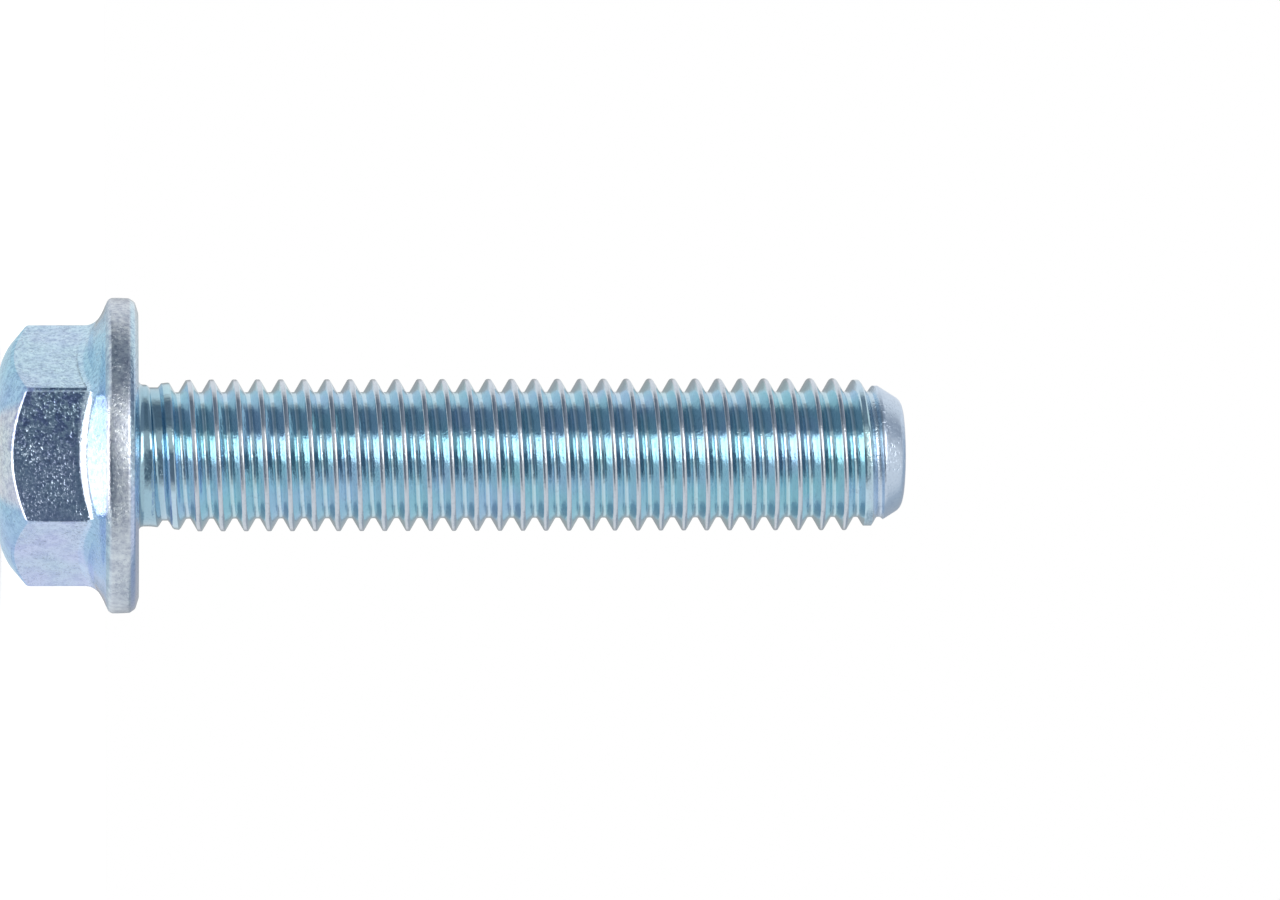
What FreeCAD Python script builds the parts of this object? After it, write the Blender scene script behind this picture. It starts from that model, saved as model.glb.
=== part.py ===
import FreeCAD, Part
import math
import os

# Flange bolt, M10 x 1.5, 50 mm long: a forged hexagon head on a round flange with a coned top, a
# short neck, a shank that is threaded up to the neck, and a coned point. It is one piece of
# zinc-plated steel. Sizes are in millimetres, angles in degrees.
# The origin is the centre of the bearing face under the flange. The shank runs up +Z, the head hangs
# below z = 0, and one flat of the hexagon faces -Y.
# The shank is the envelope of the thread's crests, which is what a hole has to clear: the fine turns
# of the thread are not cut into it.

# Hexagon head
head_height = 9.05
across_flats = 14.95
corner_radius = 0.95
top_face_radius = 6.5
top_chamfer_angle = 40.0
top_edge_radius = 1.5

# Flange
flange_radius = 10.33
rim_height = 2.0
flange_cone_angle = 25.0
rim_edge_radius = 0.35
rim_chamfer_height = 0.5
rim_chamfer_width = 0.8
hexagon_foot_radius = 1.1

# Shank: the neck is bare, and the crests swell out of it to their full radius
shank_length = 50.0
neck_radius = 4.6
neck_height = 0.8
neck_fillet_radius = 0.4
crest_radius = 4.94
full_crest_height = 3.4
point_height = 2.9
point_cone_angle = 27.6
tip_edge_height = 0.3
tip_face_radius = 2.95

axis = FreeCAD.Vector(0, 0, 1)
centre = FreeCAD.Vector(0, 0, 0)


def drop(run, angle):
    """How far a slope at this angle to the horizontal falls over a run."""
    return run * math.tan(math.radians(angle))


def rounding(before, corner, after, radius):
    """The arc of this radius that rounds a corner between two straight lines."""
    back = (before - corner).normalize()
    onward = (after - corner).normalize()
    half_angle = back.getAngle(onward) / 2
    setback = radius / math.tan(half_angle)
    inwards = (back + onward).normalize()
    middle = corner + inwards * (radius / math.sin(half_angle) - radius)
    return Part.Arc(corner + back * setback, middle, corner + onward * setback)


def turned(section):
    """The solid of a half section turned round the axis. Each corner is (radius, height, rounding)."""
    corners = [FreeCAD.Vector(radius, 0, height) for radius, height, fillet in section]
    edges = []
    ends = []
    for index, corner in enumerate(corners):
        fillet = section[index][2]
        if fillet == 0:
            ends.append((corner, corner))
            continue
        after = corners[(index + 1) % len(corners)]
        arc = rounding(corners[index - 1], corner, after, fillet)
        edges.append(arc.toShape())
        ends.append((arc.StartPoint, arc.EndPoint))
    for (start, leave), (arrive, end) in zip(ends, ends[1:] + ends[:1]):
        edges.append(Part.makeLine(leave, arrive))
    outline = Part.Wire(Part.sortEdges(edges)[0])
    return Part.Face(outline).revolve(centre, axis, 360).Solids[0]


def round_body():
    """Flange and shank in one section: cone, rim, bearing face, neck, swelling, crests and point."""
    point_end_radius = crest_radius - drop(point_height - tip_edge_height, point_cone_angle)
    return turned([
        (0, shank_length, 0),
        (0, -rim_height - drop(flange_radius, flange_cone_angle), 0),
        (flange_radius, -rim_height, rim_edge_radius),
        (flange_radius, -rim_chamfer_height, 0),
        (flange_radius - rim_chamfer_width, 0, 0),
        (neck_radius, 0, neck_fillet_radius),
        (neck_radius, neck_height, 0),
        (crest_radius, full_crest_height, 0),
        (crest_radius, shank_length - point_height, 0),
        (point_end_radius, shank_length - tip_edge_height, 0),
        (tip_face_radius, shank_length, 0),
    ])


def head_envelope():
    """The round shape that trims the hexagon's top: a flat disc, a rounded edge and a steep cone."""
    reach = flange_radius
    return turned([
        (0, 0, 0),
        (0, -head_height, 0),
        (top_face_radius, -head_height, top_edge_radius),
        (reach, -head_height + drop(reach - top_face_radius, top_chamfer_angle), 0),
        (reach, 0, 0),
    ])


def hexagon():
    """The hexagon prism with rounded corners, from the middle of the rim to the head's top face."""
    reach = across_flats / math.sqrt(3)
    corners = []
    for side in range(7):
        turn = math.radians(60 * side)
        corners.append(FreeCAD.Vector(reach * math.cos(turn), reach * math.sin(turn), -head_height))
    prism = Part.Face(Part.makePolygon(corners)).extrude(axis * (head_height - rim_height / 2))
    uprights = [edge for edge in prism.Edges if abs(edge.tangentAt(edge.FirstParameter).z) > 0.5]
    return prism.makeFillet(corner_radius, uprights).common(head_envelope())


def on_flange_cone(point):
    radius = math.hypot(point.x, point.y)
    height = -rim_height - drop(flange_radius - radius, flange_cone_angle)
    return abs(point.z - height) < 0.001


def flange_bolt():
    """The hexagon grown onto the round body, with a rounded foot where it meets the flange's cone."""
    bolt = round_body().fuse(hexagon()).removeSplitter()
    foot = []
    for edge in bolt.Edges:
        middle = edge.valueAt((edge.FirstParameter + edge.LastParameter) / 2)
        if math.hypot(middle.x, middle.y) < across_flats / math.sqrt(3) and on_flange_cone(middle):
            foot.append(edge)
    return bolt.makeFillet(hexagon_foot_radius, foot).Solids[0]


bolt = flange_bolt()
box = bolt.BoundBox
print("flange_bolt", "valid" if bolt.isValid() else "not valid", "with", len(bolt.Faces), "faces")
print("volume", round(bolt.Volume, 1), "mm3, from z", round(box.ZMin, 3), "to", round(box.ZMax, 3))

os.makedirs("parts", exist_ok=True)
bolt.exportStep("parts/flange_bolt.step")
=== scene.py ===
# %% [markdown]
# A flange bolt is one piece of steel: a hexagon head on a round flange, and a shank that is
# threaded up to its neck. The imported model is loaded first. It gives the frame that everything
# here is made in: metres, with the origin at the centre of the bearing face under the flange, the
# shank up +Z and the head hanging below it. The bolt stands on its head, the way a bolt stands on
# a bench.

import math

import bmesh
import bpy
from mathutils import Matrix, Vector


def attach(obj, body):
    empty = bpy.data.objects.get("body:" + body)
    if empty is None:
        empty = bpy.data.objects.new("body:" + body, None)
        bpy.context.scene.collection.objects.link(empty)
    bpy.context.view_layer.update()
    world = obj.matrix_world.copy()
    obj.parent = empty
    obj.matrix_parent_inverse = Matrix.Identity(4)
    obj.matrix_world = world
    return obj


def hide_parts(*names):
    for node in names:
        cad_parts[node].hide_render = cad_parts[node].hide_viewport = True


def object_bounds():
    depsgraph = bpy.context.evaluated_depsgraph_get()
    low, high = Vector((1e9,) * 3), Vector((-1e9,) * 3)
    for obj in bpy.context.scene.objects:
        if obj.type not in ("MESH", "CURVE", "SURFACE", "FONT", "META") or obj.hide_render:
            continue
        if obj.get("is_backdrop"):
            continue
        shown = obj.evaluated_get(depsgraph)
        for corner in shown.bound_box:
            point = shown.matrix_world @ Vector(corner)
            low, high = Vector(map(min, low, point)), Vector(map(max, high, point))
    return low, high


MM = 0.001


def in_mm(values):
    """Lengths in metres as a list of rounded millimetres, for printing."""
    return [round(value / MM, 2) for value in values]


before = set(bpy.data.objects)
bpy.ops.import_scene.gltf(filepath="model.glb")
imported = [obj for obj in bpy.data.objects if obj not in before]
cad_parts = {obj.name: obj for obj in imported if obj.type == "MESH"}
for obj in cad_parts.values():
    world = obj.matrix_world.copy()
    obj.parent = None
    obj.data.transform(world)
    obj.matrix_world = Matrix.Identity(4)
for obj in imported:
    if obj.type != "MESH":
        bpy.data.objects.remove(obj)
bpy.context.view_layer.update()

# %% [markdown]
# An operator works on everything that is selected, and a new primitive is selected all over, so
# each step starts from a clean selection. By hand, points, edges and faces would be clicked. Here
# they are picked by where they lie, so the same code still finds them when a size changes.

# %% Select by place
def only(piece):
    """Makes the piece the one selected, active object."""
    if bpy.context.object and bpy.context.object.mode == "EDIT":
        bpy.ops.object.mode_set(mode="OBJECT")
    bpy.ops.object.select_all(action="DESELECT")
    bpy.context.view_layer.objects.active = piece
    if piece:
        piece.select_set(True)


def pick(piece, kind, wanted):
    """Goes into edit mode with the verts, edges or faces selected for which wanted(it) is true."""
    only(piece)
    bpy.ops.object.mode_set(mode="EDIT")
    bpy.ops.mesh.select_mode(type={"verts": "VERT", "edges": "EDGE", "faces": "FACE"}[kind])
    bpy.ops.mesh.select_all(action="DESELECT")
    mesh = bmesh.from_edit_mesh(piece.data)
    found = [element for element in getattr(mesh, kind) if wanted(element)]
    for element in found:
        element.select_set(True)
    mesh.select_flush_mode()
    bmesh.update_edit_mesh(piece.data)
    return len(found)


def middle(element):
    """The middle of an edge or a face."""
    return sum((corner.co for corner in element.verts), Vector()) / len(element.verts)


# %% [markdown]
# An edit ends the same way each time: back in object mode, with double points merged and all faces
# turned outwards, because a Boolean needs closed meshes whose outside is known. A modifier is
# added, filled in and applied in one go, as its panel does by hand.

# %% Finish an edit
SAME_PLACE = 0.0005


def leave_edit_mode():
    bpy.ops.object.mode_set(mode="OBJECT")


def apply_modifier(piece, kind, **settings):
    """Adds a modifier, fills in its settings and applies it."""
    only(piece)
    modifier = piece.modifiers.new(kind.title(), kind)
    for name, value in settings.items():
        setattr(modifier, name, value)
    bpy.ops.object.modifier_apply(modifier=modifier.name)


def close_and_turn_out(piece):
    """Merges double points and turns every face outwards."""
    pick(piece, "faces", lambda face: True)
    bpy.ops.mesh.remove_doubles(threshold=SAME_PLACE * MM)
    bpy.ops.mesh.normals_make_consistent(inside=False)
    leave_edit_mode()


def describe(piece):
    print(piece.name, "has", len(piece.data.vertices), "points and measures",
          in_mm(piece.dimensions), "mm")


# %% [markdown]
# Everything round on a bolt was turned or rolled, so it is drawn as a lathe hand would see it:
# half of its section, from the axis outwards, then turned round the axis. A plane merged into one
# point is the start of the section, and extruding that point corner by corner draws the rest. A
# corner is rounded by beveling its point, because no edge of a forged and plated bolt is truly
# sharp, and a rounded edge is what catches the light. Spin then turns the section once round Z.

# %% Draw half a section and turn it
TURN_STEPS = 96
TOUCHING = 0.001


def round_corner(piece, place, rounding, segments):
    """Rounds one corner of a drawn section with an arc of the given radius."""
    pick(piece, "verts", lambda corner: (corner.co - place).length < TOUCHING * MM)
    mesh = bmesh.from_edit_mesh(piece.data)
    corner = next(corner for corner in mesh.verts if corner.select)
    arms = [edge.other_vert(corner).co - corner.co for edge in corner.link_edges]
    setback = rounding * MM / math.tan(arms[0].angle(arms[1]) / 2)
    bpy.ops.mesh.bevel(offset_type="OFFSET", offset=setback, segments=segments, affect="VERTICES")
    leave_edit_mode()


def draw_section(name, corners):
    """A chain of edges in the XZ plane, in millimetres. A corner is (radius, height), or
    (radius, height, rounding, segments) where it is rounded."""
    only(None)
    bpy.ops.mesh.primitive_plane_add(size=MM)
    piece = bpy.context.object
    piece.name = name
    bpy.ops.object.mode_set(mode="EDIT")
    bpy.ops.mesh.select_mode(type="VERT")
    bpy.ops.mesh.select_all(action="SELECT")
    bpy.ops.mesh.merge(type="CENTER")
    places = [Vector((corner[0], 0, corner[1])) * MM for corner in corners]
    bpy.ops.transform.translate(value=places[0])
    for here, there in zip(places, places[1:]):
        bpy.ops.mesh.extrude_region_move(TRANSFORM_OT_translate={"value": there - here})
    leave_edit_mode()
    for corner, place in zip(corners, places):
        if len(corner) == 4:
            round_corner(piece, place, corner[2], corner[3])
    return piece


def turn(piece):
    """Spins a section a full turn round Z and closes it."""
    pick(piece, "verts", lambda corner: True)
    bpy.ops.mesh.spin(steps=TURN_STEPS, angle=2 * math.pi, center=(0, 0, 0), axis=(0, 0, 1))
    leave_edit_mode()
    close_and_turn_out(piece)
    describe(piece)


def drop(run, angle):
    """How far a slope at this angle to the horizontal falls over a run."""
    return run * math.tan(math.radians(angle))


# %% [markdown]
# The hexagon is what a spanner grips: 15 mm across its flats, less the slack that a spanner needs.
# A cylinder of six sides is exactly that, turned so that one flat faces the camera at -Y. Its six
# upright edges were never sharp, because the steel doesn't quite fill the corners of the forging
# die, so they get a narrow bevel of many segments.

# %% The hexagon
HEAD_HEIGHT = 9.05
ACROSS_FLATS = 14.76
CORNER_RADIUS = 0.35
CORNER_STEPS = 10
HEXAGON_TOP = -0.95
SPARE = 1.0

hexagon_depth = HEAD_HEIGHT + SPARE + HEXAGON_TOP
only(None)
bpy.ops.mesh.primitive_cylinder_add(
    vertices=6, radius=ACROSS_FLATS / math.sqrt(3) * MM, depth=hexagon_depth * MM,
    location=(0, 0, (HEXAGON_TOP - hexagon_depth / 2) * MM), rotation=(0, 0, math.pi / 2))
bolt = bpy.context.object
bolt.name = "flange_bolt_body"
bpy.ops.object.transform_apply(location=True, rotation=True, scale=True)


def is_upright(edge):
    return abs(edge.verts[0].co.z - edge.verts[1].co.z) > MM


print("upright edges", pick(bolt, "edges", is_upright))
corner_width = drop(CORNER_RADIUS, 30) * MM
bpy.ops.mesh.bevel(offset_type="OFFSET", offset=corner_width, segments=CORNER_STEPS)
leave_edit_mode()
describe(bolt)

# %% [markdown]
# The top of the head is chamfered by a round die, and where that cone meets the six flats it
# leaves the curved brows that every hexagon head has. Cutting them by eye would be hopeless. A
# turned envelope, a flat disc that bends into a steep cone, gives them for nothing: only what lies
# inside both the hexagon and the envelope is kept, by a Boolean that intersects the two.

# %% The chamfered top of the head
TOP_FACE_RADIUS = 6.28
TOP_CHAMFER_ANGLE = 40.0
TOP_EDGE_RADIUS = 3.7
ENVELOPE_RADIUS = 12.0

chamfer_height = drop(ENVELOPE_RADIUS - TOP_FACE_RADIUS, TOP_CHAMFER_ANGLE)
envelope = draw_section("envelope", [
    (0, -HEAD_HEIGHT),
    (TOP_FACE_RADIUS, -HEAD_HEIGHT, TOP_EDGE_RADIUS, 6),
    (ENVELOPE_RADIUS, -HEAD_HEIGHT + chamfer_height),
    (ENVELOPE_RADIUS, 0),
    (0, 0),
])
turn(envelope)
apply_modifier(bolt, "BOOLEAN", operation="INTERSECT", solver="EXACT", object=envelope)
bpy.data.objects.remove(envelope)
describe(bolt)

# %% [markdown]
# The flange is the bolt's own washer: a round plate with a coned top, which gets steeper towards
# the hexagon. Its rim is nearly upright, and under the rim a chamfer in two steps leads to the
# flat bearing face. The section ends in a short stub of the neck, for the shank to be joined to. A
# second Boolean grows the flange and the hexagon together into one closed mesh.

# %% The flange
FLANGE_RADIUS = 10.23
RIM_HEIGHT = 1.9
FLANGE_CONE_ANGLE = 25.0
DISH_RADIUS = 9.2
DISH_ANGLE = 32.0
DISH_INNER_RADIUS = 5.0
RIM_CROWN_HEIGHT = 1.3
RIM_CROWN = 0.03
RIM_CHAMFER_HEIGHT = 0.6
RIM_STEP_RADIUS = 9.95
RIM_STEP_HEIGHT = 0.23
BEARING_FACE_RADIUS = 9.2
NECK_RADIUS = 4.6
NECK_CAP = 0.42

dish_height = -RIM_HEIGHT - drop(FLANGE_RADIUS - DISH_RADIUS, FLANGE_CONE_ANGLE)
inner_height = dish_height - drop(DISH_RADIUS - DISH_INNER_RADIUS, DISH_ANGLE)
flange = draw_section("flange", [
    (0, inner_height),
    (DISH_INNER_RADIUS, inner_height),
    (DISH_RADIUS, dish_height, 4.0, 5),
    (FLANGE_RADIUS, -RIM_HEIGHT, 0.4, 6),
    (FLANGE_RADIUS, -RIM_CROWN_HEIGHT, 6.0, 3),
    (FLANGE_RADIUS - RIM_CROWN, -RIM_CHAMFER_HEIGHT, 0.3, 4),
    (RIM_STEP_RADIUS, -RIM_STEP_HEIGHT, 0.3, 4),
    (BEARING_FACE_RADIUS, 0, 0.3, 2),
    (NECK_RADIUS, 0, 0.3, 4),
    (NECK_RADIUS, NECK_CAP),
    (0, NECK_CAP),
])
turn(flange)
apply_modifier(bolt, "BOOLEAN", operation="UNION", solver="EXACT", object=flange)
bpy.data.objects.remove(flange)
close_and_turn_out(bolt)
describe(bolt)

# %% [markdown]
# Two sets of edges are still sharp. The brows are where the chamfer meets the flats, and on the
# real head they are worn to a thin line that shines. The foot is where the flats run into the
# flange, and forged steel always has a fillet there, or it would crack. A bevel does both: a hair
# wide on the brows, and half a millimetre on the foot.

# %% Soften the brows and the foot of the hexagon
SHARP = math.radians(30)
BROW_BEVEL = 0.16
BROW_STEPS = 4
FOOT_BEVEL = 0.58
FOOT_STEPS = 7
LOWEST_BROW = -7.0
BROW_REACH = ACROSS_FLATS / 2 - 0.08
BROW_RISE = 0.5
FOOT_REACH = 8.7
CONE_SLACK = 0.01


def is_sharp(edge):
    return len(edge.link_faces) == 2 and edge.calc_face_angle(0) > SHARP


def is_brow(edge):
    place = middle(edge)
    at_flats = place.z < LOWEST_BROW * MM and place.xy.length > BROW_REACH * MM
    level = abs(edge.verts[0].co.z - edge.verts[1].co.z) < BROW_RISE * MM
    return at_flats and level and is_sharp(edge)


def on_cone(point):
    run = DISH_RADIUS - point.xy.length / MM
    return abs(point.z / MM - dish_height + drop(run, DISH_ANGLE)) < CONE_SLACK


def is_foot(edge):
    on_flange = all(on_cone(corner.co) for corner in edge.verts)
    return on_flange and middle(edge).xy.length < FOOT_REACH * MM and is_sharp(edge)


print("brow edges", pick(bolt, "edges", is_brow))
bpy.ops.mesh.bevel(offset_type="OFFSET", offset=BROW_BEVEL * MM, segments=BROW_STEPS)
leave_edit_mode()
print("foot edges", pick(bolt, "edges", is_foot))
bpy.ops.mesh.bevel(offset_type="OFFSET", offset=FOOT_BEVEL * MM, segments=FOOT_STEPS)
leave_edit_mode()
describe(bolt)

# %% [markdown]
# The thread is the most visible thing on the shank, so it is real geometry: a right-hand M10
# thread, which climbs 1.5 mm a turn. Dies roll it into the steel and leave flanks at 60 degrees,
# with small flats at root and crest whose corners are rounded. Only one groove is drawn, from
# crest to crest. A bump texture would be cheaper, but it couldn't give the saw edge that the shank
# has against a white background.

# %% One groove of the thread
PITCH = 1.5
CREST_RADIUS = 4.98
ROOT_RADIUS = 4.1
CREST_WIDTH = 0.20
ROOT_WIDTH = 0.28
CREST_ROUNDING = 0.16
ROOT_ROUNDING = 0.13
FIRST_GROOVE = 1.72
TURNS_BELOW = 2
SHORTEST_FLANK = 0.5
FLANK_CUTS = 3

lowest_groove = FIRST_GROOVE - TURNS_BELOW * PITCH
half_pitch = PITCH / 2
flank_foot = ROOT_WIDTH / 2
flank_top = half_pitch - CREST_WIDTH / 2
thread = draw_section("thread", [
    (CREST_RADIUS, lowest_groove - half_pitch),
    (CREST_RADIUS, lowest_groove - flank_top, CREST_ROUNDING, 3),
    (ROOT_RADIUS, lowest_groove - flank_foot, ROOT_ROUNDING, 3),
    (ROOT_RADIUS, lowest_groove + flank_foot, ROOT_ROUNDING, 3),
    (CREST_RADIUS, lowest_groove + flank_top, CREST_ROUNDING, 3),
    (CREST_RADIUS, lowest_groove + half_pitch),
])
print("flanks",
      pick(thread, "edges", lambda edge: edge.calc_length() > SHORTEST_FLANK * MM))
bpy.ops.mesh.subdivide(number_cuts=FLANK_CUTS)
leave_edit_mode()
describe(thread)

# %% [markdown]
# The Screw modifier turns the groove round Z and lifts it by one pitch a turn. It is wound from
# below the flange to above the tip, and cut to length later, because the two ends of a screw are
# never square. Its seams are merged, so that the thread is one skin.

# %% Wind the thread
TURNS = 35

apply_modifier(thread, "SCREW", axis="Z", angle=2 * math.pi, screw_offset=PITCH * MM,
               iterations=TURNS, steps=TURN_STEPS, render_steps=TURN_STEPS,
               use_merge_vertices=True, merge_threshold=SAME_PLACE * MM)
close_and_turn_out(thread)
describe(thread)

# %% [markdown]
# A rolled thread doesn't start or stop all at once. At the neck the grooves get shallower over a
# turn or two, and the crests swell out of the bare neck to their full radius. At the other end the
# crests get blunt, and a cone cuts them down to the point. One function says how far out the
# crests may reach at a height, and another rounds the corner between two such limits.

# %% How far the crests reach
NECK_HEIGHT = 0.8
FULL_CREST_HEIGHT = 3.4
SHANK_LENGTH = 49.7
POINT_HEIGHT = 2.364
POINT_CONE_ANGLE = 32.0
LOW_CREST_RADIUS = 4.92
CREST_GROWTH = 0.06
BLUNT_FROM = 46.3
BLUNTING = 0.26


def crest_limit(height, crest_height=0.0):
    """The radius of the crests: swelling above the neck, then full, then the point's cone."""
    full = LOW_CREST_RADIUS + CREST_GROWTH * height / SHANK_LENGTH
    swelling = min(max((height - NECK_HEIGHT) / (FULL_CREST_HEIGHT - NECK_HEIGHT), 0), 1)
    swollen = NECK_RADIUS + (full - NECK_RADIUS) * swelling
    blunt = full - BLUNTING * max(crest_height - BLUNT_FROM, 0)
    cone = full - drop(max(height - (SHANK_LENGTH - POINT_HEIGHT), 0), POINT_CONE_ANGLE)
    return min(swollen, blunt, cone)


def softer(low, high, blend):
    """The higher of two values, with the corner between them rounded."""
    share = min(max(0.5 + (low - high) / (2 * blend), 0), 1)
    return high + (low - high) * share + blend * share * (1 - share)


# %% [markdown]
# Every corner point of the thread is moved in or out to the radius that it may have. At the neck
# the root of the groove is lifted too, more for each turn further down, until it meets the crests.
# By hand this would mean dragging thousands of points, so a loop over the mesh does it.

# %% Run the thread out at both ends
RUN_OUT_START = 0.3
RUN_OUT_PER_TURN = 0.40
ROOT_BLEND = 0.06
CREST_BLEND = 0.04

for corner in thread.data.vertices:
    radius = corner.co.xy.length / MM
    height = corner.co.z / MM
    turned = math.atan2(corner.co.y, corner.co.x) % (2 * math.pi) / (2 * math.pi)
    grooves = (height - FIRST_GROOVE) / PITCH - turned
    turns_up = round(grooves) + turned
    crest_height = FIRST_GROOVE + PITCH * (math.floor(grooves) + 0.5 + turned)
    shaped = radius
    if turns_up < RUN_OUT_START:
        root = ROOT_RADIUS + RUN_OUT_PER_TURN * (RUN_OUT_START - turns_up)
        shaped = softer(root, radius, ROOT_BLEND)
    shaped = -softer(-shaped, -crest_limit(height, crest_height), CREST_BLEND)
    corner.co.xy *= shaped / radius
print("neck ends at", NECK_HEIGHT, "mm and the crests are full from", FULL_CREST_HEIGHT, "mm")

# %% [markdown]
# Bisect cuts the wound thread square, just above the flange and just below the tip, and throws the
# spare turns away. What is left is an open tube with a saw-toothed wall.

# %% Cut the thread to length
LOW_CUT = 0.5
HIGH_CUT = 49.0

for cut, keep_above in ((LOW_CUT, True), (HIGH_CUT, False)):
    pick(thread, "faces", lambda face: True)
    bpy.ops.mesh.bisect(plane_co=(0, 0, cut * MM), plane_no=(0, 0, 1), threshold=0.0001 * MM,
                        clear_inner=keep_above, clear_outer=not keep_above)
    leave_edit_mode()
describe(thread)

# %% [markdown]
# The point is a cone with a rounded edge and a flat end, so that the bolt finds its nut. The open
# ring at the top of the thread is extruded upwards and scaled in, ring after ring along the arc of
# that edge, and the last ring is filled. The arc starts in line with the cone, so no seam shows.

# %% Round the tip and close it
TIP_ROUNDING = 0.8
TIP_RINGS = 6


def pick_open_edges(piece, wanted):
    """Selects the edges with a face on one side only for which wanted(edge) is true."""
    return pick(piece, "edges", lambda edge: len(edge.link_faces) == 1 and wanted(edge))


cone_slope = 90 - POINT_CONE_ANGLE
arc_radius = crest_limit(SHANK_LENGTH) - TIP_ROUNDING * math.tan(math.radians(cone_slope / 2))
print("edges round the tip",
      pick_open_edges(thread, lambda edge: middle(edge).z > (HIGH_CUT - TOUCHING) * MM))
ring_radius = crest_limit(HIGH_CUT)
ring_height = HIGH_CUT
for ring in range(TIP_RINGS):
    slope = math.radians(cone_slope * (1 - ring / (TIP_RINGS - 1)))
    radius = arc_radius + TIP_ROUNDING * math.sin(slope)
    height = SHANK_LENGTH - TIP_ROUNDING * (1 - math.cos(slope))
    rise = (0, 0, (height - ring_height) * MM)
    bpy.ops.mesh.extrude_region_move(TRANSFORM_OT_translate={"value": rise})
    shrink = radius / ring_radius
    bpy.ops.transform.resize(value=(shrink, shrink, 1), center_override=(0, 0, height * MM))
    ring_radius = radius
    ring_height = height
bpy.ops.mesh.edge_face_add()
leave_edit_mode()
describe(thread)

# %% [markdown]
# Head and shank become one skin, as they are one piece of steel. The flat cap on the neck's stub
# is deleted, the two meshes are joined into one object, and Bridge Edge Loops sews the stub's ring
# to the thread's lowest ring. A closed mesh has no edge with only one face, and the cell counts
# them.

# %% Join the head and the shank
GAP_LOW = 0.3
GAP_HIGH = 0.7

pick(bolt, "faces", lambda face: middle(face).z > (NECK_CAP - TOUCHING) * MM)
bpy.ops.mesh.delete(type="FACE")
leave_edit_mode()
only(bolt)
thread.select_set(True)
bpy.ops.object.join()
print("edges round the neck",
      pick_open_edges(bolt, lambda edge: GAP_LOW * MM < middle(edge).z < GAP_HIGH * MM))
bpy.ops.mesh.bridge_edge_loops()
leave_edit_mode()
close_and_turn_out(bolt)
print("open edges left", pick_open_edges(bolt, lambda edge: True))
leave_edit_mode()
triangles = sum(len(face.vertices) - 2 for face in bolt.data.polygons)
print(triangles, "triangles")
describe(bolt)

# %% [markdown]
# Smooth shading hides the facets of the turned surfaces, but it must stop at true edges. Shade
# Smooth by Angle does that, and Weighted Normal then lets the large flat faces decide the
# direction at their borders, so the flats of the hexagon stay flat up to their narrow bevels.

# %% Smooth the shading
SMOOTH_ANGLE = 35

only(bolt)
bpy.ops.object.shade_smooth_by_angle(angle=math.radians(SMOOTH_ANGLE))
apply_modifier(bolt, "WEIGHTED_NORMAL", keep_sharp=True)
print("smooth faces", sum(face.use_smooth for face in bolt.data.polygons))

# %% [markdown]
# A material is a tree of nodes that by hand are added and wired one at a time. A few helpers keep
# the same wiring short and readable: one adds a node and fills or links its inputs, and the others
# are the kinds of node that this scene uses most. A share is a number from 0 to 1 that says how
# much of a finish shows at a place, and nearly everything below is made of shares.

# %% Helpers for nodes
def add_node(tree, kind, inputs=None, **settings):
    """Adds a node, sets its own settings, then fills or links its inputs."""
    node = tree.nodes.new(kind)
    for name, value in settings.items():
        setattr(node, name, value)
    for name, value in (inputs or {}).items():
        if isinstance(value, bpy.types.NodeSocket):
            tree.links.new(value, node.inputs[name])
        else:
            node.inputs[name].default_value = value
    return node


def maths(tree, operation, first, second=0.0, third=0.0, clamp=False):
    """The result of a Math node."""
    values = {0: first, 1: second, 2: third}
    return add_node(tree, "ShaderNodeMath", values, operation=operation, use_clamp=clamp).outputs[0]


def product(tree, first, second):
    return maths(tree, "MULTIPLY", first, second)


def add_share(tree, share, amount, base):
    """The base, plus the amount times a share."""
    return maths(tree, "MULTIPLY_ADD", share, amount, base)


def ease(tree, value, low, high):
    """0 up to low, 1 from high on and smooth between. With low above high it runs down."""
    limits = {"Value": value, "From Min": low, "From Max": high}
    return add_node(tree, "ShaderNodeMapRange", limits, interpolation_type="SMOOTHSTEP").outputs[0]


def from_axis(tree, x, y):
    """How far a place is from the bolt's axis."""
    return maths(tree, "SQRT", add_share(tree, x, x, product(tree, y, y)))


# %% [markdown]
# Colours need two more helpers: a ramp that turns a number into a colour, and a mix of two colours
# by a share. The Mix node has sockets for numbers, vectors and colours under the same names, so
# its colour sockets are picked by number.

# %% Helpers for colours
def ramp(tree, value, stops):
    """A colour ramp through stops of (position, brightness or colour)."""
    node = add_node(tree, "ShaderNodeValToRGB", {"Fac": value})
    band = node.color_ramp
    while len(band.elements) < len(stops):
        band.elements.new(0.5)
    for element, (position, colour) in zip(band.elements, stops):
        element.position = position
        element.color = (*colour, 1) if isinstance(colour, tuple) else (colour, colour, colour, 1)
    return node.outputs["Color"]


def blend_colours(tree, share, first, second, kind="MIX"):
    """A Mix node: the first colour where the share is 0, and the second where it is 1."""
    node = add_node(tree, "ShaderNodeMix", data_type="RGBA", blend_type=kind)
    sockets = (node.inputs[0], node.inputs[6], node.inputs[7])
    for socket, value in zip(sockets, (share, first, second)):
        if isinstance(value, bpy.types.NodeSocket):
            tree.links.new(value, socket)
        else:
            socket.default_value = (*value, 1) if isinstance(value, tuple) else value
    return node.outputs[2]
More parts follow.
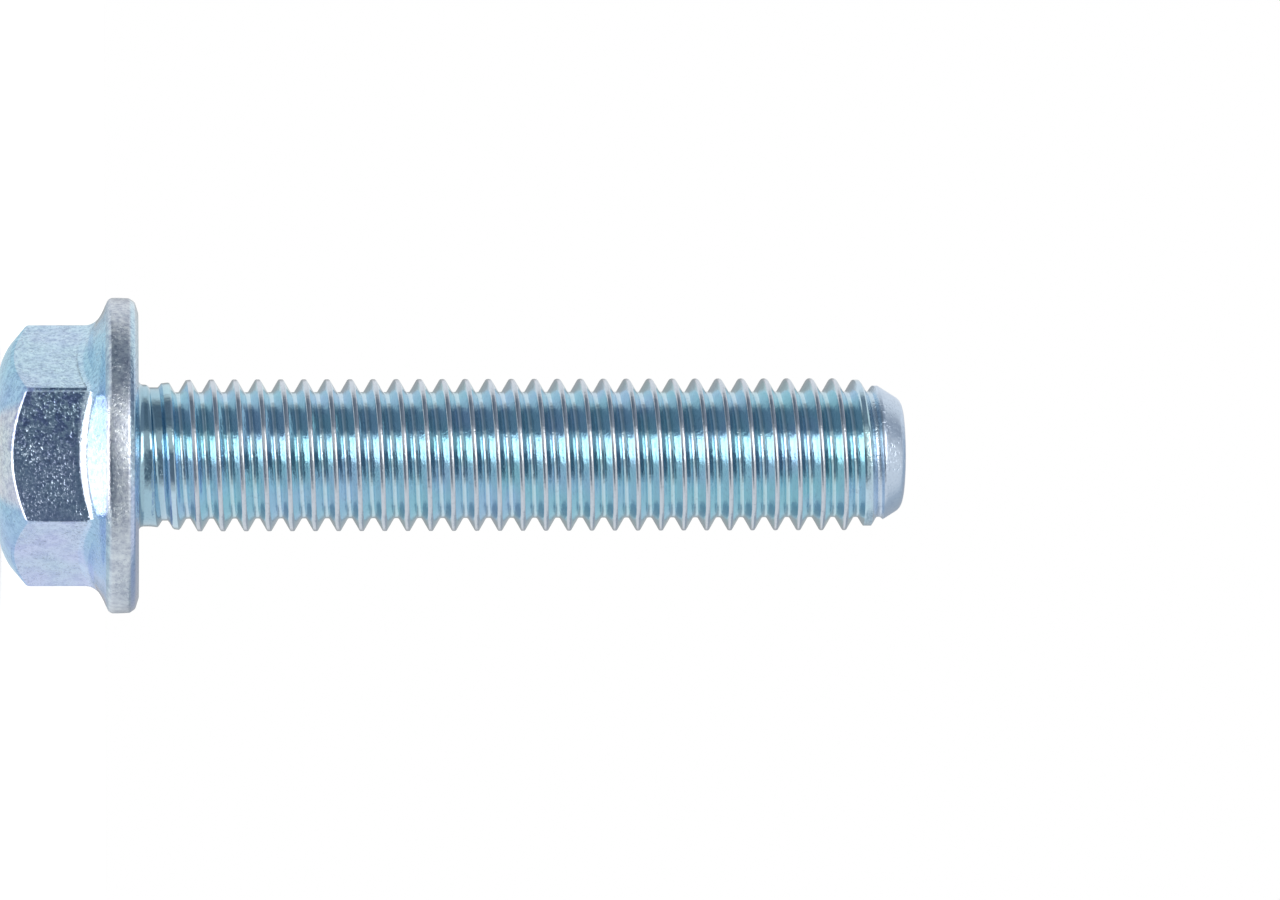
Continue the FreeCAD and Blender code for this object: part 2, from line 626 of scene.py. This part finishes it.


# %% [markdown]
# The steel is zinc plated and blue passivated. Bright zinc is a soft mirror with a cold blue tint,
# so the shader is all metal, and its base colour does the tinting. Every pattern is noise on
# Object coordinates, scaled to millimetres, so it sits on the bolt and stays there in every view.
# The shares made here say where a finish goes: on the head and flange, on the flange's rim, on the
# thread's crests and on the point. One more says where painted shade goes: in the corner between
# flange and neck, which the flange shades.

# %% Where each finish goes, and the painted corner shade
BEARING_FACE = 0.05
ROUNDED_EDGE = (-1.5, -1.8)
EDGE_REACH = 0.35
RIM = (10.08, 10.2)
CRESTS = (4.82, 4.92)
POINT = (47.0, 48.2)
CORNER_SHADE_HEIGHTS = (2.2, 1.0)
CORNER_SHADE_SHARE = 0.8

zinc = bpy.data.materials.new("bright_zinc")
zinc.use_nodes = True
tree = zinc.node_tree
plating = tree.nodes["Principled BSDF"]
plating.inputs["Metallic"].default_value = 1.0
place = add_node(tree, "ShaderNodeTexCoord").outputs["Object"]
in_millimetres = add_node(tree, "ShaderNodeMapping",
                          {"Vector": place, "Scale": (1 / MM, 1 / MM, 1 / MM)}).outputs[0]
split = add_node(tree, "ShaderNodeSeparateXYZ", {"Vector": in_millimetres})
x, y, z = split.outputs["X"], split.outputs["Y"], split.outputs["Z"]
radius = from_axis(tree, x, y)

on_head = maths(tree, "LESS_THAN", z, BEARING_FACE)
rim_radius = add_share(tree, ease(tree, z, *ROUNDED_EDGE), EDGE_REACH, radius)
on_rim = product(tree, ease(tree, rim_radius, *RIM), on_head)
on_crest = maths(tree, "SUBTRACT", ease(tree, radius, *CRESTS), on_head, clamp=True)
on_point = ease(tree, z, *POINT)
# Painted shade: the neck is darkened just above the flange, where the flange shades it.
near_flange = product(tree, ease(tree, z, *CORNER_SHADE_HEIGHTS), CORNER_SHADE_SHARE)
painted_corner_shade = maths(tree, "SUBTRACT", near_flange, on_head, clamp=True)
print("the plating has", len(tree.nodes), "nodes so far")

# %% [markdown]
# The passivation leaves a thin film whose colour drifts from greenish to violet blue, as oil on
# water does, only much fainter. Large soft clouds of noise drive that drift, and on the head it
# also leans to violet towards +X. Rim and crests rub against other bolts in the drum, so their
# blue is rubbed off to a greyer zinc, and the rim is mottled.

# %% The tint of the plating
HEAD_TINTS = [
    (0.25, (0.53, 0.73, 0.86)), (0.5, (0.55, 0.70, 0.88)), (0.75, (0.57, 0.66, 0.91)),
]
SHANK_TINTS = [
    (0.36, (0.50, 0.74, 0.82)), (0.5, (0.52, 0.73, 0.84)), (0.64, (0.55, 0.72, 0.86)),
]
RIM_TINTS = [
    (0.35, (0.50, 0.56, 0.66)), (0.5, (0.61, 0.68, 0.77)), (0.65, (0.70, 0.78, 0.85)),
]
RUBBED_CREST = (0.62, 0.69, 0.77)
TURNED_POINT = (0.64, 0.76, 0.91)
PAINTED_CORNER_SHADE = (0.34, 0.54, 0.66)
DRIFT_ACROSS = 0.03


def noise(tree, scale, detail, roughness=0.5):
    """Noise with about this many waves a millimetre."""
    settings = {"Vector": in_millimetres, "Scale": scale, "Detail": detail, "Roughness": roughness}
    return add_node(tree, "ShaderNodeTexNoise", settings).outputs["Fac"]


clouds = noise(tree, scale=0.25, detail=2)
head_tint = ramp(tree, add_share(tree, x, DRIFT_ACROSS, clouds), HEAD_TINTS)
shank_tint = ramp(tree, clouds, SHANK_TINTS)
rim_tint = ramp(tree, noise(tree, scale=2.2, detail=3), RIM_TINTS)
tint = blend_colours(tree, on_head, shank_tint, head_tint)
tint = blend_colours(tree, on_crest, tint, RUBBED_CREST)
tint = blend_colours(tree, on_rim, tint, rim_tint)
tint = blend_colours(tree, on_point, tint, TURNED_POINT)
# Painted shade: a darker colour in the corner between flange and neck, which the flange shades.
tint = blend_colours(tree, painted_corner_shade, tint, PAINTED_CORNER_SHADE)
print("the plating has", len(tree.nodes), "nodes so far")

# %% [markdown]
# Close up, a forged head isn't clean. Its skin has a fine grain, lighter and darker from spot to
# spot. It is noise through a ramp that is white in the middle, multiplied into the tint, so it
# brightens as well as darkens. It is strongest towards -X and nearly gone at +X, and it stays off
# the shank, because rolling leaves a thread smooth.

# %% Grain
GRAIN = [(0.38, (0.74, 0.75, 0.80)), (0.5, (1.0, 1.0, 1.0)), (0.62, (1.15, 1.12, 1.08))]
GRAIN_ACROSS = -0.11

grain = ramp(tree, noise(tree, scale=3.5, detail=3, roughness=0.7), GRAIN)
grain_share = product(tree, add_share(tree, x, GRAIN_ACROSS, 1.0), on_head)
tint = blend_colours(tree, grain_share, tint, blend_colours(tree, 1.0, tint, grain, "MULTIPLY"))
print("the plating has", len(tree.nodes), "nodes so far")

# %% [markdown]
# The hexagon is stained in patches. Coarser noise makes them, and a share says where they may
# show: only on the hexagon. On its front flat, the one that faces the camera, towards -X, the
# share is raised and a thin even darkening is added: that is painted shade on the front flat.
# Multiplying by a bluish grey darkens the metal and leaves its tint.

# %% Stains on the hexagon, and painted shade on its front flat
STAINS = [(0.0, 1.0), (0.43, 1.0), (0.53, 0.0)]
STAIN_AND_SHADE = (0.42, 0.42, 0.66)
STAINS_ALL_ROUND = 0.22
STAINS_AND_SHADE_IN_FRONT = 0.42
PAINTED_SHADE_IN_FRONT = 0.20
HEXAGON = (-3.2, -3.9)
FRONT = (-7.0, -7.3)
STAINED_AND_SHADED_HALF = (1.5, -2.5)

stains = ramp(tree, noise(tree, scale=1.5, detail=4, roughness=0.65), STAINS)
hexagon_only = ease(tree, z, *HEXAGON)
# Painted shade: the flat that faces the camera, towards -X, gets more stains and an even darkening.
shaded_front_flat = product(tree, ease(tree, y, *FRONT), ease(tree, x, *STAINED_AND_SHADED_HALF))
stain_and_shade_share = add_share(tree, shaded_front_flat, STAINS_AND_SHADE_IN_FRONT, STAINS_ALL_ROUND)
stain_and_shade_share = product(tree, stains, stain_and_shade_share)
# Painted shade: an even darkening added over the front flat.
stain_and_shade_share = add_share(tree, shaded_front_flat, PAINTED_SHADE_IN_FRONT, stain_and_shade_share)
stained_and_shaded = blend_colours(tree, 1.0, tint, STAIN_AND_SHADE, "MULTIPLY")
tint = blend_colours(tree, product(tree, stain_and_shade_share, hexagon_only), tint, stained_and_shaded)
print("the plating has", len(tree.nodes), "nodes so far")

# %% [markdown]
# Small dark specks lie where the zinc is thin. They are the deepest dips of a fine noise. Specks
# never lie evenly, so a second, larger noise gathers them in patches, and there are fewer on the
# shank.

# %% Specks
SPECKS = [(0.0, 1.0), (0.34, 1.0), (0.46, 0.0)]
THIN_ZINC = (0.24, 0.29, 0.42)
SPECK_PATCHES = (0.4, 0.6)
BETWEEN_PATCHES = 0.25
IN_PATCHES = 0.4
ON_SHANK = 0.4
MORE_ON_HEAD = 0.6

patches = noise(tree, scale=0.6, detail=2, roughness=0.6)
specks = ramp(tree, noise(tree, scale=5.0, detail=3, roughness=0.65), SPECKS)
speck_patches = ease(tree, patches, *SPECK_PATCHES)
speck_share = add_share(tree, speck_patches, IN_PATCHES, BETWEEN_PATCHES)
speck_share = product(tree, speck_share, add_share(tree, on_head, MORE_ON_HEAD, ON_SHANK))
tint = blend_colours(tree, product(tree, specks, speck_share), tint, THIN_ZINC)
tree.links.new(tint, plating.inputs["Base Color"])
print("the plating has", len(tree.nodes), "nodes so far")

# %% [markdown]
# Roughness decides how sharp the mirror is. The flanks of the thread are the smoothest part, the
# rim and the crests are rubbed, and the point is dull, because the cone was turned and not rolled.
# Each share adds its own roughness to that of the smoothest zinc.

# %% Roughness
SMOOTHEST = 0.07
SKIN_ROUGHNESS = 0.12
RIM_ROUGHNESS = 0.20
CREST_ROUGHNESS = 0.09
POINT_ROUGHNESS = 0.18

skin = noise(tree, scale=3.0, detail=2, roughness=0.5)
rough = add_share(tree, skin, SKIN_ROUGHNESS, SMOOTHEST)
rough = add_share(tree, on_rim, RIM_ROUGHNESS, rough)
rough = add_share(tree, on_crest, CREST_ROUGHNESS, rough)
rough = add_share(tree, on_point, POINT_ROUGHNESS, rough)
tree.links.new(rough, plating.inputs["Roughness"])
print("the plating has", len(tree.nodes), "nodes so far")

# %% [markdown]
# A bump adds what a closer mesh couldn't: a skin that waves by about a hundredth of a millimetre,
# and pits, deepest on rim and point. It bends only the light. The shapes themselves are all in the
# mesh.

# %% Pits and a skin that waves
PITS = [(0.0, 0.0), (0.54, 0.0), (0.72, 1.0)]
PIT_DEPTH = 0.25
PIT_PATCHES = (0.35, 0.65)
PITS_BETWEEN = 0.4
PITS_IN_PATCHES = 0.9
SKIN_WAVES = 0.8
SMOOTHER_ON_HEAD = -0.3
BUMP_DEPTH = 0.014

pits = ramp(tree, noise(tree, scale=5.0, detail=2, roughness=0.55), PITS)
pit_depth = PIT_DEPTH
for share, amount in ((on_head, 0.3), (on_rim, 0.4), (on_point, 0.9)):
    pit_depth = add_share(tree, share, amount, pit_depth)
pit_share = ease(tree, patches, *PIT_PATCHES)
pit_share = add_share(tree, pit_share, PITS_IN_PATCHES, PITS_BETWEEN)
pit_depth = product(tree, pit_depth, pit_share)
skin_height = product(tree, skin, add_share(tree, on_head, SMOOTHER_ON_HEAD, SKIN_WAVES))
skin_height = maths(tree, "SUBTRACT", skin_height, product(tree, pits, pit_depth))
bump = add_node(tree, "ShaderNodeBump",
                {"Height": skin_height, "Strength": 1.0, "Distance": BUMP_DEPTH * MM})
tree.links.new(bump.outputs[0], plating.inputs["Normal"])
print("the plating has", len(tree.nodes), "nodes")

# %% [markdown]
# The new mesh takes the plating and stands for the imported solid, which stays as the collision
# shape. The bolt has no joint, so it rides on the root body.

# %% Put the plating on the bolt
bolt.data.materials.clear()
bolt.data.materials.append(zinc)
for face in bolt.data.polygons:
    face.material_index = 0
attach(bolt, "root")
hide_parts("flange_bolt")
print(bolt.name, "wears", bolt.data.materials[0].name)

# %% [markdown]
# Bright metal has hardly a look of its own: it shows the room. A studio hangs pale screens round
# small shiny goods and leaves dark gaps between them, and the gaps draw the dark bands along a
# round shank. Here the room is a colour ramp that runs once round the bolt, from the back over +X,
# the camera's side and -X to the back again. There are two of them: one at the bolt's own level,
# and one for the screens higher up.

# %% The room that the metal mirrors
DIM = (0.24, 0.28, 0.34)
DARK = (0.14, 0.18, 0.225)
LEVEL_STOPS = [
    (0.0, 0.40), (0.05, 0.45), (0.09, 0.90), (0.33, 0.90), (0.36, 0.6), (0.40, DARK),
    (0.512, DARK), (0.53, 0.6), (0.60, 0.6), (0.63, DARK), (0.755, DARK), (0.79, 0.5),
    (0.82, 0.98), (0.91, 0.95), (0.95, 0.45), (1.0, 0.40),
]
UPPER_STOPS = [
    (0.0, 0.5), (0.19, (0.36, 0.43, 0.5)), (0.22, 0.80), (0.44, 0.80), (0.46, 0.6),
    (0.60, 0.7), (0.62, DIM), (0.77, DIM), (0.80, 0.7), (0.84, 0.9), (0.97, 0.9), (1.0, 0.5),
]


def room(tree, x, y, high=0.0):
    """The room's colour in a direction: 0.5 on the ramp is the camera's side, and 0.75 is -X."""
    around = maths(tree, "ARCTAN2", product(tree, x, -1), product(tree, y, -1))
    around = add_share(tree, around, 0.5 / math.pi, 0.5)
    level = ramp(tree, around, LEVEL_STOPS)
    upper = ramp(tree, around, UPPER_STOPS)
    return blend_colours(tree, high, level, upper)


# %% [markdown]
# The metal sees the floor differently from the camera. For glossy rays the paper glows with a
# painted light: close to the bolt a card brighter than white in front, a pale one at the sides and
# a darker one behind, and the flange's cone and the chamfer mirror that glow as painted highlights.
# The darker glow behind lets the hexagon's edges show from that side too. Further out, and sooner
# in front than at the sides, it fades into the room. A studio lays pieces of card round shiny goods
# for this. Here the paper itself glows, with a colour worked out from the place on the floor.

# %% The paper's painted glow round the bolt, which only the metal sees
# Painted light: colours that the paper glows with for glossy rays alone, up to four times white.
FRONT_GLOW_CARD = (4.0, 3.5, 3.2)
GLOW_CARD_EDGE = (1.5, 1.35, 1.25)
CARD_BEND = 0.025
UNDER_HEAD_GLOW = (1.02, 0.90, 0.82)
SIDE_GLOW_CARD = (0.90, 0.94, 0.96)
SIDE_SHADE = (0.63, 0.78, 0.84)
BACK_SHADE = (0.42, 0.52, 0.60)
FRONT_SECTOR = (0.84, 0.92)
BACK_SECTOR = (0.55, 0.9)
HEAD_SHADE_FADES = (7.7, 8.8)
CARD_FADES = (11.5, 12.5)
SIDE_FADES = (13.0, 16.5)
PAPER_FADES = (12.8, 14.5)
SIDE_REACH = 0.5


def fade(tree, distance, limits):
    """Ease between two distances that are given in millimetres."""
    return ease(tree, distance, limits[0] * MM, limits[1] * MM)


def paper_glow_for_gloss(tree, x, y):
    """The colour that the floor glows with for the metal, a painted light, at a place in metres."""
    out = from_axis(tree, x, y)
    forward = product(tree, y, -1)
    in_front = ease(tree, maths(tree, "DIVIDE", forward, out), *FRONT_SECTOR)
    behind = ease(tree, maths(tree, "DIVIDE", y, out), *BACK_SECTOR)
    reach = product(tree, out, add_share(tree, in_front, 1 - SIDE_REACH, SIDE_REACH))
    bend = product(tree, product(tree, x, x), CARD_BEND / MM)
    bent = maths(tree, "SUBTRACT", forward, bend)
    glow_card = blend_colours(tree, fade(tree, bent, CARD_FADES), FRONT_GLOW_CARD, GLOW_CARD_EDGE)
    front = blend_colours(tree, fade(tree, bent, HEAD_SHADE_FADES), UNDER_HEAD_GLOW, glow_card)
    side = blend_colours(tree, fade(tree, out, SIDE_FADES), SIDE_SHADE, SIDE_GLOW_CARD)
    side = blend_colours(tree, behind, side, BACK_SHADE)
    near = blend_colours(tree, in_front, side, front)
    return blend_colours(tree, fade(tree, reach, PAPER_FADES), near, room(tree, x, y))


# %% [markdown]
# The bolt stands on its head on a plain pale floor. It is white paper, which catches the bolt's
# soft shadow. A little glow for the camera alone lifts the paper to the white of the background,
# and a Light Path node shows glossy rays the paper's painted glow instead.

# %% The floor
FLOOR_SIZE = 6.0
PAPER_WHITE = (0.88, 0.88, 0.88, 1)
PAPER_ROUGHNESS = 0.9
PAPER_SHINE = 0.1
CAMERA_GLOW = 0.25

only(None)
bpy.ops.mesh.primitive_plane_add(size=FLOOR_SIZE, location=(0, 0, -HEAD_HEIGHT * MM))
floor = bpy.context.object
floor.name = "floor"
bpy.ops.object.transform_apply(location=True)
paper = bpy.data.materials.new("white_paper")
paper.use_nodes = True
tree = paper.node_tree
matt = tree.nodes["Principled BSDF"]
matt.inputs["Base Color"].default_value = PAPER_WHITE
matt.inputs["Roughness"].default_value = PAPER_ROUGHNESS
matt.inputs["Specular IOR Level"].default_value = PAPER_SHINE
path = add_node(tree, "ShaderNodeLightPath")
to_camera = product(tree, path.outputs["Is Camera Ray"], CAMERA_GLOW)
glow = add_node(tree, "ShaderNodeEmission", {"Color": (1, 1, 1, 1), "Strength": to_camera})
lit = add_node(tree, "ShaderNodeAddShader", {0: matt.outputs[0], 1: glow.outputs[0]})
split = add_node(tree, "ShaderNodeSeparateXYZ",
                 {"Vector": add_node(tree, "ShaderNodeTexCoord").outputs["Object"]})
# Painted light: for glossy rays the paper glows with this colour instead of lying lit.
paper_glow_colour = paper_glow_for_gloss(tree, split.outputs["X"], split.outputs["Y"])
gloss_glow = add_node(tree, "ShaderNodeEmission", {"Color": paper_glow_colour, "Strength": 1.0})
surface = add_node(tree, "ShaderNodeMixShader",
                   {0: path.outputs["Is Glossy Ray"], 1: lit.outputs[0], 2: gloss_glow.outputs[0]})
tree.links.new(surface.outputs[0], tree.nodes["Material Output"].inputs["Surface"])
floor.data.materials.append(paper)
floor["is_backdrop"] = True
print("the floor lies at", in_mm([floor.data.vertices[0].co.z]), "mm")

# %% [markdown]
# The world is plain white for the camera and for soft light, and only glossy rays see the room. A
# bluish screen hangs overhead and a little behind. Seen from above, the bearing face and the flat
# end of the point mirror it. Without it they would be as white as the paper and vanish against it.

# %% The surroundings
SCREEN_DIRECTION = (0, 0.45, 0.89)
SCREEN_COLOUR = (0.33, 0.42, 0.52)
SCREEN_EDGE = (0.93, 0.975)
UPPER_SCREENS = (0.03, 0.13)
WHITE = (1.0, 1.0, 1.0)

world = bpy.context.scene.world or bpy.data.worlds.new("studio")
bpy.context.scene.world = world
world.use_nodes = True
tree = world.node_tree
tree.nodes.clear()
where = add_node(tree, "ShaderNodeTexCoord").outputs["Generated"]
split = add_node(tree, "ShaderNodeSeparateXYZ", {"Vector": where})
high = ease(tree, split.outputs["Z"], *UPPER_SCREENS)
around_bolt = room(tree, split.outputs["X"], split.outputs["Y"], high)
towards_screen = add_node(tree, "ShaderNodeVectorMath", {0: where, 1: SCREEN_DIRECTION},
                          operation="DOT_PRODUCT").outputs["Value"]
screen = ease(tree, towards_screen, *SCREEN_EDGE)
around_bolt = blend_colours(tree, screen, around_bolt, SCREEN_COLOUR)
glossy = add_node(tree, "ShaderNodeLightPath").outputs["Is Glossy Ray"]
seen = blend_colours(tree, glossy, WHITE, around_bolt)
background = add_node(tree, "ShaderNodeBackground", {"Color": seen, "Strength": 1.0})
add_node(tree, "ShaderNodeOutputWorld", {"Surface": background.outputs[0]})
print("the world has", len(tree.nodes), "nodes")

# %% [markdown]
# One softbox stands in front of the bolt, a little above it and to its -X side, and draws the
# bright line down the shank. A real softbox is brightest in its middle, so it is made of two
# lamps, a smaller one in front of a larger one, and the line fades at its edges. Its power follows
# from the radiance of its face, so its size can change and the line stays as bright.

# %% The softbox
WARM_WHITE = (1.0, 0.94, 0.89)
LAMP_AIM = Vector((0, 0, 0.02))


def softbox(name, around, up, distance, width, height, radiance):
    """A rectangular lamp, seen from the bolt at an angle round the shank from the camera's side
    towards -X and at an angle above the floor, in degrees. Its sizes are in metres."""
    around = math.radians(around)
    up = math.radians(up)
    level = math.cos(up)
    back = Vector((-math.sin(around) * level, -math.cos(around) * level, math.sin(up)))
    light = bpy.data.lights.new(name, "AREA")
    light.shape = "RECTANGLE"
    light.size = width
    light.size_y = height
    light.energy = radiance * math.pi * width * height
    light.color = WARM_WHITE
    lamp = bpy.data.objects.new(name, light)
    bpy.context.scene.collection.objects.link(lamp)
    lamp.location = LAMP_AIM + back * distance
    lamp.rotation_euler = back.to_track_quat("Z", "Y").to_euler()
    lamp.visible_camera = False
    print(name, "stands at", in_mm(lamp.location), "mm with", round(light.energy, 3), "W")


softbox("key_light_core", around=15, up=32, distance=0.60, width=0.34, height=0.44, radiance=1.3)
softbox("key_light", around=15, up=33, distance=0.65, width=0.50, height=0.58, radiance=1.3)

# %% [markdown]
# The photograph shows the bolt from the side, with its axis level and its head cut by the left
# edge of the frame. The camera looks along +Y from nearly half a metre away, opposite the head,
# with -X up in the picture. It aims higher up the shank, so the point comes right of the middle,
# and a long lens fills the frame.

# %% The camera
CAMERA_DISTANCE = 460.0
CAMERA_HEIGHT = -1.2
AIM_HEIGHT = 32.615
LENS = 198.97
SENSOR_WIDTH = 36
AXIS_TILT = 0.11
AXIS_OFFSET = 0.30

camera_data = bpy.data.cameras.new("camera")
camera_data.sensor_width = SENSOR_WIDTH
camera_data.lens = LENS
camera = bpy.data.objects.new("camera", camera_data)
bpy.context.scene.collection.objects.link(camera)
camera.location = Vector((-AXIS_OFFSET, -CAMERA_DISTANCE, CAMERA_HEIGHT)) * MM
forward = (Vector((-AXIS_OFFSET, 0, AIM_HEIGHT)) * MM - camera.location).normalized()
up = Vector((-1, 0, 0))
right = forward.cross(up)
facing = Matrix((right, up, -forward)).transposed().to_4x4()
tilt = Matrix.Rotation(math.radians(-AXIS_TILT), 4, "Z")
camera.matrix_world = Matrix.Translation(camera.location) @ facing @ tilt
bpy.context.scene.camera = camera
bpy.context.scene.view_settings.view_transform = "Standard"
print("the camera stands at", in_mm(camera.location), "mm")

# %% [markdown]
# Last, the finished bolt's box is printed: dressing the bolt mustn't change its size.

# %% Measure and finish
low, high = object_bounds()
print("finished bolt's box in mm, from", in_mm(low), "to", in_mm(high))
